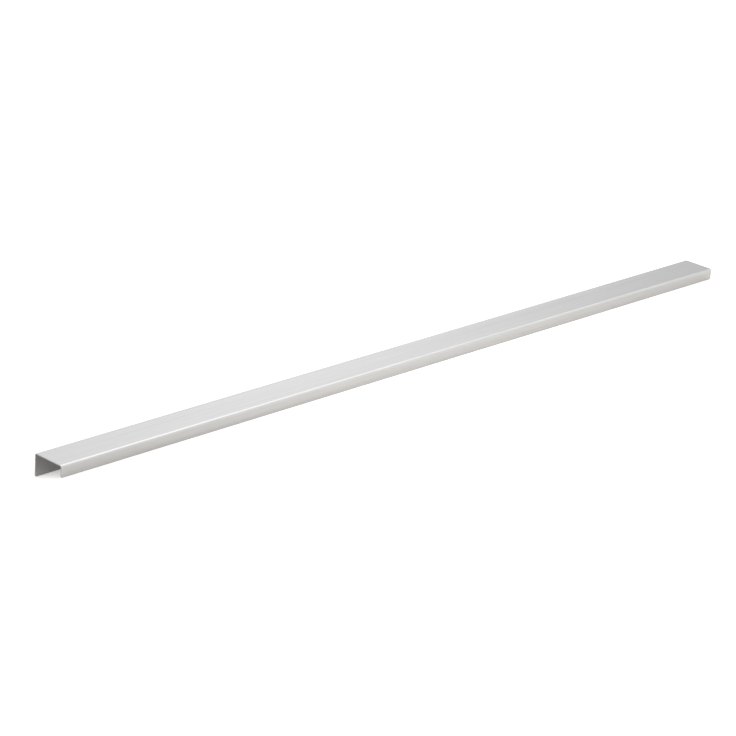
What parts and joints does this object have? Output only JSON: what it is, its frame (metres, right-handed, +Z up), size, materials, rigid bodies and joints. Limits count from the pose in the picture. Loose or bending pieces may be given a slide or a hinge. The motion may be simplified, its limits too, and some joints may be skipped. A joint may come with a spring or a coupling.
{
  "type": "edge pull",
  "caption": "Long channel of folded brushed steel sheet that caps the top edge of a drawer or cupboard front: tall screw-on flange behind, short finger lip in front.",
  "frame": {"origin": "centre of the bounding box's footprint, on the floor that the free edges of lip and back flange stand on", "axes": "+X along the pull, -Y towards the lip, +Z up as it lies unheld, nose down by about 17 degrees"},
  "size_m": [1, 0.045, 0.0236],
  "materials": {
    "brushed_steel": "satin, brushed along the length"
  },
  "bodies": {
    "root": {"pull_profile": "brushed_steel"}
  },
  "joints": []
}
